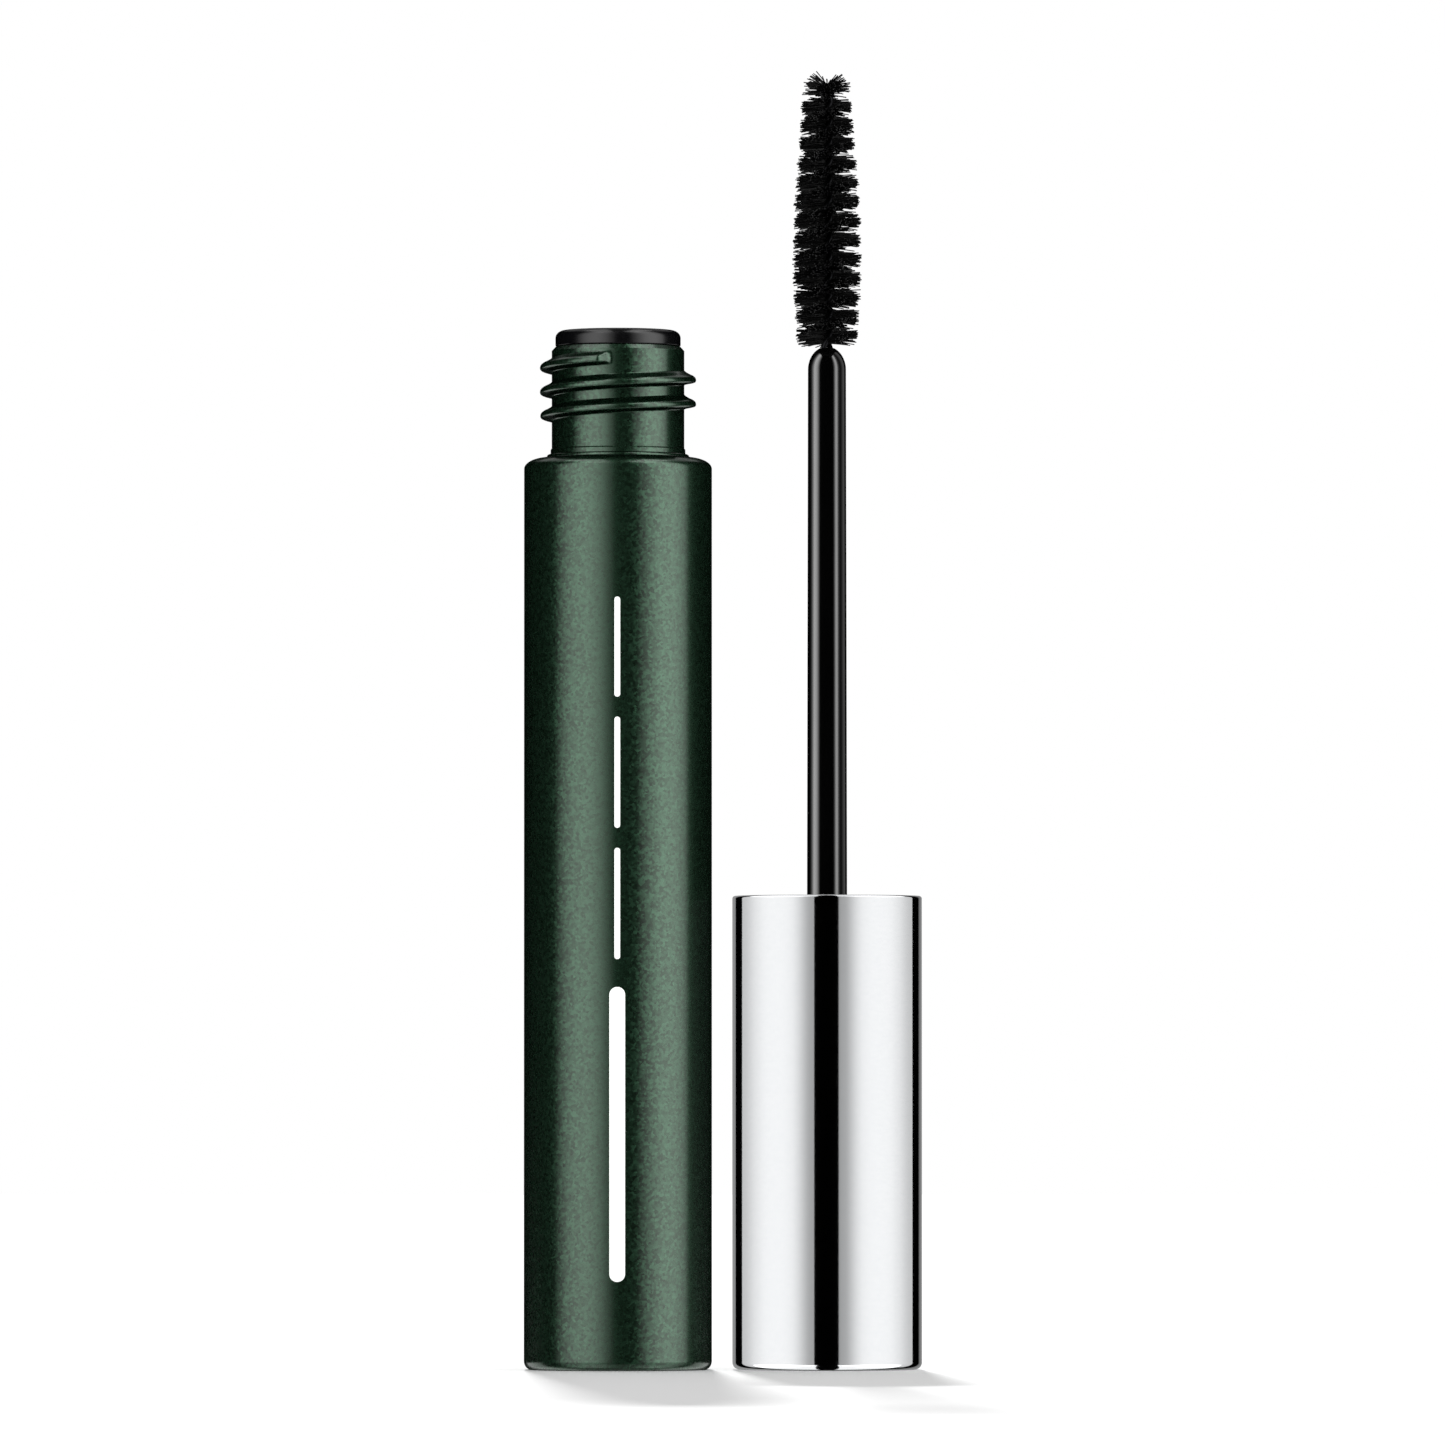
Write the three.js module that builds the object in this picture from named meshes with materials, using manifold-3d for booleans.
// Mascara tube, opened: the threaded bottle stands on the left, and the cap stands on its
// closed end on the right, with its stem and twisted-wire brush pointing up.
//
// Millimetres, +Z up. The origin is on the standing surface, midway between the two halves.
// When the tube is closed, the cap is turned over, the brush goes down through the wiper,
// and the cap screws on to the neck until its rim meets the bottle's shoulder.

import * as THREE from 'three';
import { mergeVertices } from 'three/addons/utils/BufferGeometryUtils.js';
import Module from 'manifold-3d';

const wasm = await Module();
wasm.setup();

// ---------------------------------------------------------------- driving dimensions

const AXIS_SPACING = 18.92; // between the bottle's axis and the wand's axis

const BODY_RADIUS = 8.5; // bottle body
const SHOULDER_HEIGHT = 82.1; // base to where the closed cap's rim meets the domed shoulder
const NECK_RADIUS = 6.0; // outside of the neck, at the thread's root
const NECK_HEIGHT = 10.4; // shoulder to rim
const NECK_BORE = 4.7; // radius of the hole through the neck
const BODY_BORE = 6.9; // radius of the space that holds the paste
const FLOOR_THICKNESS = 2.4;

const THREAD_PITCH = 2.19; // one start, right-handed
const THREAD_DEPTH = 1.07;
const NECK_THREAD_TURNS = 2.5;
const CAP_THREAD_TURNS = 1.25;
const CAP_THREAD_DEPTH = 4.4; // from the cap's rim to where its thread starts
const THREAD_CLEARANCE = 0.3; // radial, between the cap's thread and the neck

const FLANGE_RADIUS = 5.67; // the wiper's flange, which rests on the neck's rim
const FLANGE_HEIGHT = 1.5;
const ORIFICE_RADIUS = 2.1; // the wiper's lip, which strips the stem and the brush

const CAP_RADIUS = 8.57;
const CAP_HEIGHT = 42.8;
const SHELL_WALL = 0.5;
const SEAL_THICKNESS = 0.8;
const CLOSED_RIM_GAP = 0.2; // left between the rim and the shoulder when the seal touches

const STEM_RADIUS = 1.81; // at the cap's rim
const STEM_TIP_RADIUS = 1.72; // where the rounded end begins
const STEM_TOP = 92.7;
const BRUSH_RADIUS = 3.12; // at the brush's widest row
const BRUSH_LENGTH = 24.4;
const TWIST_PITCH = 3.48; // one turn of the wire, which makes two rows of bristles
const STRAND_RADIUS = 0.26; // the wire's own radius

const SEAT_GAP = 0.1; // between pieces that sit in each other
const TOUCH_GAP = 0.05; // between faces that rest on each other

// ---------------------------------------------------------------- worked-out dimensions

const RIM_HEIGHT = SHOULDER_HEIGHT + NECK_HEIGHT;
const SEAL_TOP = CAP_HEIGHT + CLOSED_RIM_GAP - NECK_HEIGHT - FLANGE_HEIGHT;
const CAVITY_FLOOR = SEAL_TOP - SEAL_THICKNESS - TOUCH_GAP;
const SHELL_BORE = CAP_RADIUS - SHELL_WALL;
const INNER_CAP_RADIUS = SHELL_BORE - SEAT_GAP;
const CAP_THREAD_ROOT = NECK_RADIUS + THREAD_DEPTH + 0.23;
const CAP_THREAD_CREST = NECK_RADIUS + THREAD_CLEARANCE;
const BRUSH_FOOT = STEM_TOP + 0.2;
const SOCKET_FLOOR = 14; // bottom of the hole that holds the stem
const HELIX_RADIUS = STRAND_RADIUS + 0.05; // from the wand's axis to a strand's centre

const ROUND = 36; // flat sides on a large turned piece, and steps in a turn of thread
const SMALL_ROUND = 24; // flat sides on a slim turned piece
const FULL_TURN = 2 * Math.PI;

// ---------------------------------------------------------------- solids

// Turns any closed three.js geometry into a solid that can be joined and cut.
function toSolid(geometry) {
  const bare = geometry.clone();
  bare.deleteAttribute('normal');
  bare.deleteAttribute('uv');
  const merged = mergeVertices(bare, 1e-4);
  const corners = [...merged.index.array];
  const kept = [];
  for (let i = 0; i < corners.length; i += 3) {
    const [a, b, c] = corners.slice(i, i + 3);
    if (a !== b && b !== c && c !== a) kept.push(a, b, c);
  }
  return new wasm.Manifold(new wasm.Mesh({
    numProp: 3,
    vertProperties: Float32Array.from(merged.attributes.position.array),
    triVerts: Uint32Array.from(kept),
  }));
}

// Turns a solid back into a geometry.
function toGeometry(body) {
  const mesh = body.getMesh();
  const geometry = new THREE.BufferGeometry();
  geometry.setAttribute('position', new THREE.BufferAttribute(mesh.vertProperties, 3));
  geometry.setIndex(new THREE.BufferAttribute(mesh.triVerts, 1));
  return geometry;
}

// A turned solid about Z. The outline is a list of [radius, height], and it runs up the
// outside and down the inside, from axis to axis or back to its first point.
function turned(outline, sides = ROUND) {
  const points = outline.map(([radius, height]) => new THREE.Vector2(radius, height));
  return toSolid(new THREE.LatheGeometry(points, sides).rotateX(Math.PI / 2));
}

// Points on an elliptical corner, from angle `from` to angle `to` in degrees.
function corner(radius, height, wide, tall, from, to, steps = 4) {
  return Array.from({ length: steps + 1 }, (_, i) => {
    const angle = THREE.MathUtils.degToRad(from + ((to - from) * i) / steps);
    return [radius + wide * Math.cos(angle), height + tall * Math.sin(angle)];
  });
}

// A flat section, extruded and then bent by a function of its three coordinates.
function bentExtrusion(shape, length, steps, bend) {
  const geometry = new THREE.ExtrudeGeometry(shape, {
    depth: length, steps, bevelEnabled: false, curveSegments: 1,
  });
  const position = geometry.attributes.position;
  const point = new THREE.Vector3();
  for (let i = 0; i < position.count; i += 1) {
    bend(point.fromBufferAttribute(position, i));
    position.setXYZ(i, point.x, point.y, point.z);
  }
  return toSolid(geometry);
}

// A screw thread's ridge. The section is a list of [radius, height], the ridge starts at its
// top end and runs down clockwise, and both ends sink into the wall at `rootRadius`.
function threadRidge({ section, rootRadius, topAngle, topHeight, turns, fadeTurns }) {
  const shape = new THREE.Shape(section.map(([radius, height]) => new THREE.Vector2(radius, height)));
  const fade = (turn) => Math.min(1, turn / fadeTurns, (turns - turn) / fadeTurns);
  return bentExtrusion(shape, turns, Math.round(turns * ROUND), (point) => {
    const angle = topAngle - point.z * FULL_TURN;
    const reach = point.x - rootRadius;
    const embedded = Math.sign(rootRadius - section[0][0]) * reach < 0;
    const radius = rootRadius + (embedded ? reach : reach * fade(point.z));
    const height = topHeight - point.z * THREAD_PITCH + point.y;
    point.set(radius * Math.cos(angle), radius * Math.sin(angle), height);
  });
}

// ---------------------------------------------------------------- bottle half

// The bottle's thread has a gentle upper flank, a rounded crest and a steep lower flank.
function neckThread() {
  const crest = NECK_RADIUS + THREAD_DEPTH;
  const buried = NECK_RADIUS - 0.4;
  return threadRidge({
    section: [
      [buried, -0.52],
      [NECK_RADIUS, -0.5],
      [crest - 0.15, -0.24],
      [crest, -0.02],
      [crest - 0.15, 0.14],
      [NECK_RADIUS, 0.86],
      [buried, 0.88],
    ],
    rootRadius: NECK_RADIUS,
    topAngle: THREE.MathUtils.degToRad(-95),
    topHeight: RIM_HEIGHT - 1.35,
    turns: NECK_THREAD_TURNS,
    fadeTurns: 0.08,
  });
}

// One moulded piece: body, shoulder, small collar, neck and thread, with a hollow inside and a
// shallow recess in the base for the label.
function bottle() {
  const recess = 0.4;
  const collar = NECK_RADIUS + 0.5; // where the shoulder's dome ends
  const shell = turned([
    [0, recess],
    [6.3, recess],
    [6.6, 0],
    ...corner(BODY_RADIUS - 0.6, 0.8, 0.6, 0.8, -90, 0),
    ...corner(collar, SHOULDER_HEIGHT - 0.65, BODY_RADIUS - collar, 1.02, 0, 90, 6),
    ...corner(collar - 0.3, SHOULDER_HEIGHT + 0.42, 0.25, 0.25, 0, 90, 2),
    [NECK_RADIUS + 0.1, SHOULDER_HEIGHT + 0.7],
    [NECK_RADIUS + 0.1, SHOULDER_HEIGHT + 1.08],
    [NECK_RADIUS, SHOULDER_HEIGHT + 1.18],
    [NECK_RADIUS, RIM_HEIGHT - 0.36],
    [FLANGE_RADIUS, RIM_HEIGHT],
    [NECK_BORE, RIM_HEIGHT],
    [NECK_BORE, SHOULDER_HEIGHT - 1.5],
    [BODY_BORE, SHOULDER_HEIGHT - 4.1],
    ...corner(BODY_BORE - 1.2, FLOOR_THICKNESS + 1.2, 1.2, 1.2, 0, -90),
    [0, FLOOR_THICKNESS],
  ]);
  return shell.add(neckThread());
}

// The plug in the neck: a flange on the rim, a sleeve down the bore and a funnel that ends in
// the wiping lip.
function wiper() {
  const bottom = RIM_HEIGHT + TOUCH_GAP;
  const top = bottom + FLANGE_HEIGHT - TOUCH_GAP;
  const sleeve = NECK_BORE - SEAT_GAP;
  const wall = 0.6;
  const funnelTop = RIM_HEIGHT - 8;
  const lip = RIM_HEIGHT - 11.5;
  return turned([
    [sleeve, bottom],
    [FLANGE_RADIUS, bottom],
    ...corner(FLANGE_RADIUS - 0.8, top - 0.7, 0.8, 0.7, 0, 90),
    [sleeve - wall + 0.4, top],
    [sleeve - wall, top - 0.4],
    [sleeve - wall, funnelTop],
    [ORIFICE_RADIUS, lip + 0.4],
    [ORIFICE_RADIUS, lip],
    [ORIFICE_RADIUS + 0.35, lip],
    [sleeve, funnelTop],
    [sleeve, bottom],
  ]);
}

// The paste, with the well that the brush and stem leave in it each time the tube is closed.
function mascaraPaste() {
  const wallGap = 0.3;
  const radius = BODY_BORE - wallGap;
  const well = BRUSH_RADIUS + 0.3;
  const bottom = FLOOR_THICKNESS + wallGap;
  const wellBottom = 6.6;
  const level = 70;
  return turned([
    [0, bottom],
    [radius - 1.2, bottom],
    [radius, bottom + 1.2],
    [radius, level],
    [well, level - 0.6],
    [well, wellBottom + 0.8],
    [well - 0.8, wellBottom],
    [0, wellBottom],
  ], 32);
}

// The round shade sticker in the base's recess, left blank.
function baseLabel() {
  const radius = 5.8;
  const underside = 0.24;
  const thickness = 0.12;
  return turned([
    [0, underside],
    [radius, underside],
    [radius, underside + thickness],
    [0, underside + thickness],
  ], 32);
}

// ---------------------------------------------------------------- wand half

// The bright metal cup that the hand holds, standing on its closed end.
function capOvershell() {
  const floor = 0.7;
  const edge = 0.65;
  return turned([
    [0, 0],
    ...corner(CAP_RADIUS - edge, edge, edge, edge, -90, 0, 6),
    [CAP_RADIUS, CAP_HEIGHT - 0.2],
    [CAP_RADIUS - 0.18, CAP_HEIGHT],
    [SHELL_BORE, CAP_HEIGHT],
    [SHELL_BORE, floor + 0.8],
    [SHELL_BORE - 0.8, floor],
    [0, floor],
  ]);
}

// The inner cap's thread stands inwards from the bore and fits between the neck's ridges.
function capThread() {
  const buried = CAP_THREAD_ROOT + 0.3;
  return threadRidge({
    section: [
      [buried, 0.56],
      [CAP_THREAD_ROOT, 0.54],
      [CAP_THREAD_CREST, 0.18],
      [CAP_THREAD_CREST, -0.18],
      [CAP_THREAD_ROOT, -0.54],
      [buried, -0.56],
    ],
    rootRadius: CAP_THREAD_ROOT,
    topAngle: 0,
    topHeight: CAP_HEIGHT - CAP_THREAD_DEPTH,
    turns: CAP_THREAD_TURNS,
    fadeTurns: 0.1,
  });
}

// The plastic liner: a threaded cavity at the rim, a floor, and below the floor a stem socket
// held by ribs.
function innerCap() {
  const rim = CAP_HEIGHT - 0.3;
  const foot = 0.9;
  const floorBottom = CAVITY_FLOOR - 1.5;
  const skirtBore = INNER_CAP_RADIUS - 0.8;
  const socketRadius = 3.2;
  const socketBore = STEM_RADIUS + SEAT_GAP;
  const grooveRadius = socketBore + 0.25;
  const grooveHeight = SOCKET_FLOOR + 2;
  const ribFoot = 6;
  const ribThickness = 0.8;
  const ribCount = 6;
  let body = turned([
    [0, SOCKET_FLOOR - 1.5],
    [socketRadius, SOCKET_FLOOR - 1.5],
    [socketRadius, floorBottom],
    [skirtBore, floorBottom],
    [skirtBore, foot],
    [INNER_CAP_RADIUS - 0.8, foot],
    [INNER_CAP_RADIUS, foot + 0.8],
    [INNER_CAP_RADIUS, rim],
    [CAP_THREAD_ROOT + 0.3, rim],
    [CAP_THREAD_ROOT, rim - 0.3],
    [CAP_THREAD_ROOT, CAVITY_FLOOR],
    [socketBore, CAVITY_FLOOR],
    [socketBore, grooveHeight + 0.9],
    [grooveRadius, grooveHeight + 0.7],
    [grooveRadius, grooveHeight - 0.3],
    [socketBore, grooveHeight - 0.5],
    [socketBore, SOCKET_FLOOR],
    [0, SOCKET_FLOOR],
  ]).add(capThread());
  for (let i = 0; i < ribCount; i += 1) {
    const inner = socketRadius - 0.3;
    const outer = skirtBore + 0.3;
    const rib = new THREE.BoxGeometry(outer - inner, ribThickness, floorBottom + 0.3 - ribFoot)
      .translate((inner + outer) / 2, 0, (ribFoot + floorBottom + 0.3) / 2)
      .rotateZ((FULL_TURN * i) / ribCount);
    body = body.add(toSolid(rib));
  }
  return body;
}

// The soft washer at the bottom of the cavity, which the wiper's flange presses on.
function sealDisc() {
  const bottom = SEAL_TOP - SEAL_THICKNESS;
  return turned([
    [STEM_RADIUS + 0.2, bottom],
    [6.9, bottom],
    [6.9, SEAL_TOP],
    [STEM_RADIUS + 0.2, SEAL_TOP],
    [STEM_RADIUS + 0.2, bottom],
  ], 32);
}

// The slim rod between cap and brush, with a snap ring in its socket, a slight taper, a rounded
// end and a hole in that end for the wire.
function stem() {
  const foot = SOCKET_FLOOR + SEAT_GAP;
  const ring = STEM_RADIUS + 0.22;
  const ringHeight = SOCKET_FLOOR + 2;
  const hole = HELIX_RADIUS + STRAND_RADIUS + 0.06;
  const dome = 2.1;
  const domeStart = Math.acos(hole / STEM_TIP_RADIUS) * THREE.MathUtils.RAD2DEG;
  return turned([
    [0, foot],
    [STEM_RADIUS - 0.3, foot],
    [STEM_RADIUS, foot + 0.5],
    [STEM_RADIUS, ringHeight - 0.3],
    [ring, ringHeight],
    [ring, ringHeight + 0.4],
    [STEM_RADIUS, ringHeight + 0.6],
    [STEM_RADIUS, CAP_HEIGHT],
    ...corner(0, STEM_TOP - dome, STEM_TIP_RADIUS, dome, 0, domeStart, 6),
    [hole, STEM_TOP - 8.6],
    [0, STEM_TOP - 8.6],
  ], SMALL_ROUND);
}

// One wire folded at the brush's tip, with its two legs twisted about each other.
class FoldedWire extends THREE.Curve {
  constructor(bottom, top) {
    super();
    this.bottom = bottom;
    this.top = top;
  }

  getPoint(t, target = new THREE.Vector3()) {
    const straight = 0.8; // untwisted length below the fold
    const leg = this.top - this.bottom;
    const fold = Math.PI * HELIX_RADIUS;
    const along = t * (2 * leg + fold) - leg - fold / 2;
    const side = Math.sign(along) || 1;
    const past = Math.abs(along) - fold / 2;
    if (past < 0) {
      const angle = along / HELIX_RADIUS;
      return target.set(HELIX_RADIUS * Math.sin(angle), 0, this.top + HELIX_RADIUS * Math.cos(angle));
    }
    const twist = (FULL_TURN * Math.max(0, past - straight)) / TWIST_PITCH;
    const x = side * HELIX_RADIUS * Math.cos(twist);
    const y = side * HELIX_RADIUS * Math.sin(-twist);
    return target.set(x, y, this.top - past);
  }
}

function brushWire() {
  const sides = 6;
  const shape = new THREE.Shape(Array.from({ length: sides }, (_, i) => new THREE.Vector2(
    STRAND_RADIUS * Math.cos((FULL_TURN * i) / sides),
    STRAND_RADIUS * Math.sin((FULL_TURN * i) / sides),
  )));
  const path = new FoldedWire(STEM_TOP - 8.4, BRUSH_FOOT + BRUSH_LENGTH - 1.7);
  return toSolid(new THREE.ExtrudeGeometry(shape, {
    extrudePath: path, steps: 140, bevelEnabled: false,
  }));
}

// The bristles' outer form: two fins, wound about the wire, on an outline that is narrow at the
// tip, widest in its lower half and a little narrower at the foot.
function bristles() {
  const core = 1.0;
  const bore = HELIX_RADIUS + STRAND_RADIUS + 0.1;
  const halfFin = 40; // degrees
  const firstAngle = THREE.MathUtils.degToRad(-65); // of one fin, at the brush's foot
  const outline = new THREE.SplineCurve([
    new THREE.Vector2(0, 2.76),
    new THREE.Vector2(0.3, BRUSH_RADIUS),
    new THREE.Vector2(0.5, 3.05),
    new THREE.Vector2(0.8, 2.5),
    new THREE.Vector2(1, 2.12),
  ]);
  const fin = (facing) => [-1, 0, 1].map((side) => {
    const angle = THREE.MathUtils.degToRad(facing + side * halfFin);
    return new THREE.Vector2(BRUSH_RADIUS * Math.cos(angle), BRUSH_RADIUS * Math.sin(angle));
  });
  const waist = (facing) => [-30, 30].map((turn) => {
    const angle = THREE.MathUtils.degToRad(facing + turn);
    return new THREE.Vector2(core * Math.cos(angle), core * Math.sin(angle));
  });
  const shape = new THREE.Shape([...fin(0), ...waist(90), ...fin(180), ...waist(270)]);
  const hole = Array.from({ length: 8 }, (_, i) => new THREE.Vector2(
    bore * Math.cos((FULL_TURN * i) / 8),
    -bore * Math.sin((FULL_TURN * i) / 8),
  ));
  shape.holes.push(new THREE.Path(hole));
  const stepsPerTurn = 10;
  const steps = Math.round((BRUSH_LENGTH / TWIST_PITCH) * stepsPerTurn);
  return bentExtrusion(shape, BRUSH_LENGTH, steps, (point) => {
    const reach = Math.hypot(point.x, point.y);
    const widest = outline.getPoint(point.z / BRUSH_LENGTH).y;
    const spread = Math.max(0, reach - core) / (BRUSH_RADIUS - core);
    const radius = Math.min(reach, core) + spread * (widest - core);
    const angle = firstAngle + Math.atan2(point.y, point.x) + (FULL_TURN * point.z) / TWIST_PITCH;
    point.set(radius * Math.cos(angle), radius * Math.sin(angle), BRUSH_FOOT + point.z);
  });
}

// ---------------------------------------------------------------- assembly

function piece(name, body, color, roughness, metalness) {
  const material = new THREE.MeshStandardMaterial({ color, roughness, metalness });
  const mesh = new THREE.Mesh(toGeometry(body), material);
  mesh.name = name;
  return mesh;
}

const bottleHalf = new THREE.Group();
bottleHalf.position.x = -AXIS_SPACING / 2;
bottleHalf.add(
  piece('bottle', bottle(), 0x2c4a3a, 0.4, 0.6),
  piece('wiper', wiper(), 0x141416, 0.45, 0),
  piece('mascara_paste', mascaraPaste(), 0x0c0b0c, 0.35, 0),
  piece('base_label', baseLabel(), 0xe9e9e4, 0.6, 0),
);

const wandHalf = new THREE.Group();
wandHalf.position.x = AXIS_SPACING / 2;
wandHalf.add(
  piece('cap_overshell', capOvershell(), 0xdfe1e4, 0.08, 1),
  piece('inner_cap', innerCap(), 0x1b1b1d, 0.5, 0),
  piece('seal_disc', sealDisc(), 0xd8d8d2, 0.7, 0),
  piece('stem', stem(), 0x0b0b0c, 0.2, 0),
  piece('brush_wire', brushWire(), 0x8d8f92, 0.35, 1),
  piece('bristles', bristles(), 0x0d0d0e, 0.6, 0),
);

const group = new THREE.Group();
group.add(bottleHalf, wandHalf);

export default group;
